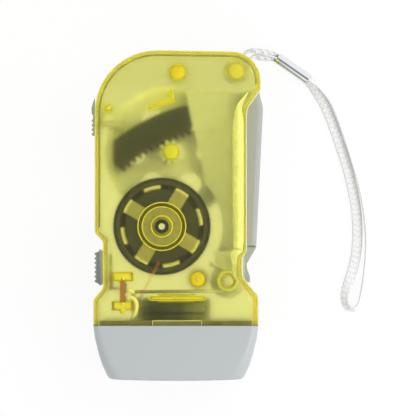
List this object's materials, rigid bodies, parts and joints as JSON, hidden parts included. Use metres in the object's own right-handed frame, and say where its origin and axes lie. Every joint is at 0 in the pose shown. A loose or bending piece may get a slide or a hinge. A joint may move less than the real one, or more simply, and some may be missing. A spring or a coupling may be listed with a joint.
{
  "type": "hand crank flashlight",
  "caption": "Squeeze-lever dynamo flashlight with a translucent casing, a sector gear train, a claw-pole generator, thumb sliders and a wrist strap.",
  "frame": {"origin": "on the flat back of the casing, on the head's centre line, half way along the 102 mm length", "axes": "+Z out of the back through the thickness to the front cover, +Y away from the lamp head, +X towards the squeeze lever"},
  "size_m": [0.0861, 0.1023, 0.03],
  "materials": {
    "case_plastic": "frosted translucent yellow",
    "grey_plastic": "smooth satin light grey",
    "clear_plastic": "clear polished",
    "mirror_coat": "vacuum silvered",
    "lamp_resin": "clear resin",
    "board": "brown paper laminate",
    "cell_steel": "nickel plated",
    "black_plastic": "moulded black",
    "bright_steel": "ground bright",
    "spring_steel": "dark oiled",
    "nylon": "natural nylon",
    "cup_iron": "dark sintered and painted",
    "sinter_bronze": "sintered, oiled",
    "zinc_plate": "zinc plated sheet",
    "copper": "enamelled copper",
    "slider_plastic": "satin mid grey",
    "white_lead": "white insulation",
    "screw_steel": "zinc plated",
    "white_braid": "white braid",
    "crimp_chrome": "bright plated"
  },
  "bodies": {
    "case": {"front_cover": "case_plastic", "rear_cover": "case_plastic", "head_bezel": "grey_plastic", "lens": "clear_plastic", "reflector": "mirror_coat", "leds": "lamp_resin", "led_board": "board", "button_cells": "cell_steel", "cell_cradle": "black_plastic", "cell_contacts": "cell_steel", "pivot_pin": "bright_steel", "return_spring": "spring_steel", "drive_axle": "bright_steel", "front_bush": "sinter_bronze", "rear_bush": "sinter_bronze", "stator_front_plate": "zinc_plate", "stator_rear_plate": "zinc_plate", "coil_bobbin": "black_plastic", "coil_winding": "copper", "coil_leads": "copper", "switch_board": "board", "led_wires": "white_lead", "case_screws": "screw_steel", "strap_cord": "white_braid", "strap_crimp": "crimp_chrome", "strap_webbing": "white_braid"},
    "lever": {"lever": "grey_plastic", "sector_gear": "black_plastic"},
    "pinion": {"drive_pinion": "nylon", "clutch_spring": "bright_steel"},
    "gear": {"drive_gear": "nylon"},
    "rotor": {"flywheel": "cup_iron", "magnet_ring": "cup_iron", "rotor_shaft": "bright_steel", "rotor_pinion": "nylon"},
    "switch": {"switch_slider": "slider_plastic", "switch_contact": "copper"},
    "lock": {"lock_slider": "slider_plastic"}
  },
  "joints": [
    {"name": "lever_hinge", "type": "hinge", "parent": "case", "child": "lever", "pos_m": [0.016, -0.0206, 0.0155], "axis": [0, 0, -1], "range_deg": [-3, 17], "stiffness_Nm_per_rad": 0.03, "springref_deg": 45.84},
    {"name": "pinion_spin", "type": "hinge", "parent": "case", "child": "pinion", "pos_m": [-0.00144, 0.01931, 0.0155], "axis": [0, 0, -1], "continuous": true},
    {"name": "gear_spin", "type": "hinge", "parent": "case", "child": "gear", "pos_m": [-0.00144, 0.01931, 0.011], "axis": [0, 0, -1], "continuous": true},
    {"name": "rotor_spin", "type": "hinge", "parent": "case", "child": "rotor", "pos_m": [-0.00435, -0.00376, 0.019], "axis": [0, 0, -1], "continuous": true},
    {"name": "switch_slide", "type": "slide", "parent": "case", "child": "switch", "axis": [0, 1, 0], "range_m": [0, 0.0018]},
    {"name": "lock_slide", "type": "slide", "parent": "case", "child": "lock", "axis": [0, -1, 0], "range_m": [0, 0.0024]}
  ],
  "couplings": [
    {"joint": "pinion_spin", "follows": "lever_hinge", "ratio": 14},
    {"joint": "gear_spin", "follows": "lever_hinge", "ratio": 14},
    {"joint": "rotor_spin", "follows": "lever_hinge", "ratio": -116.2}
  ]
}
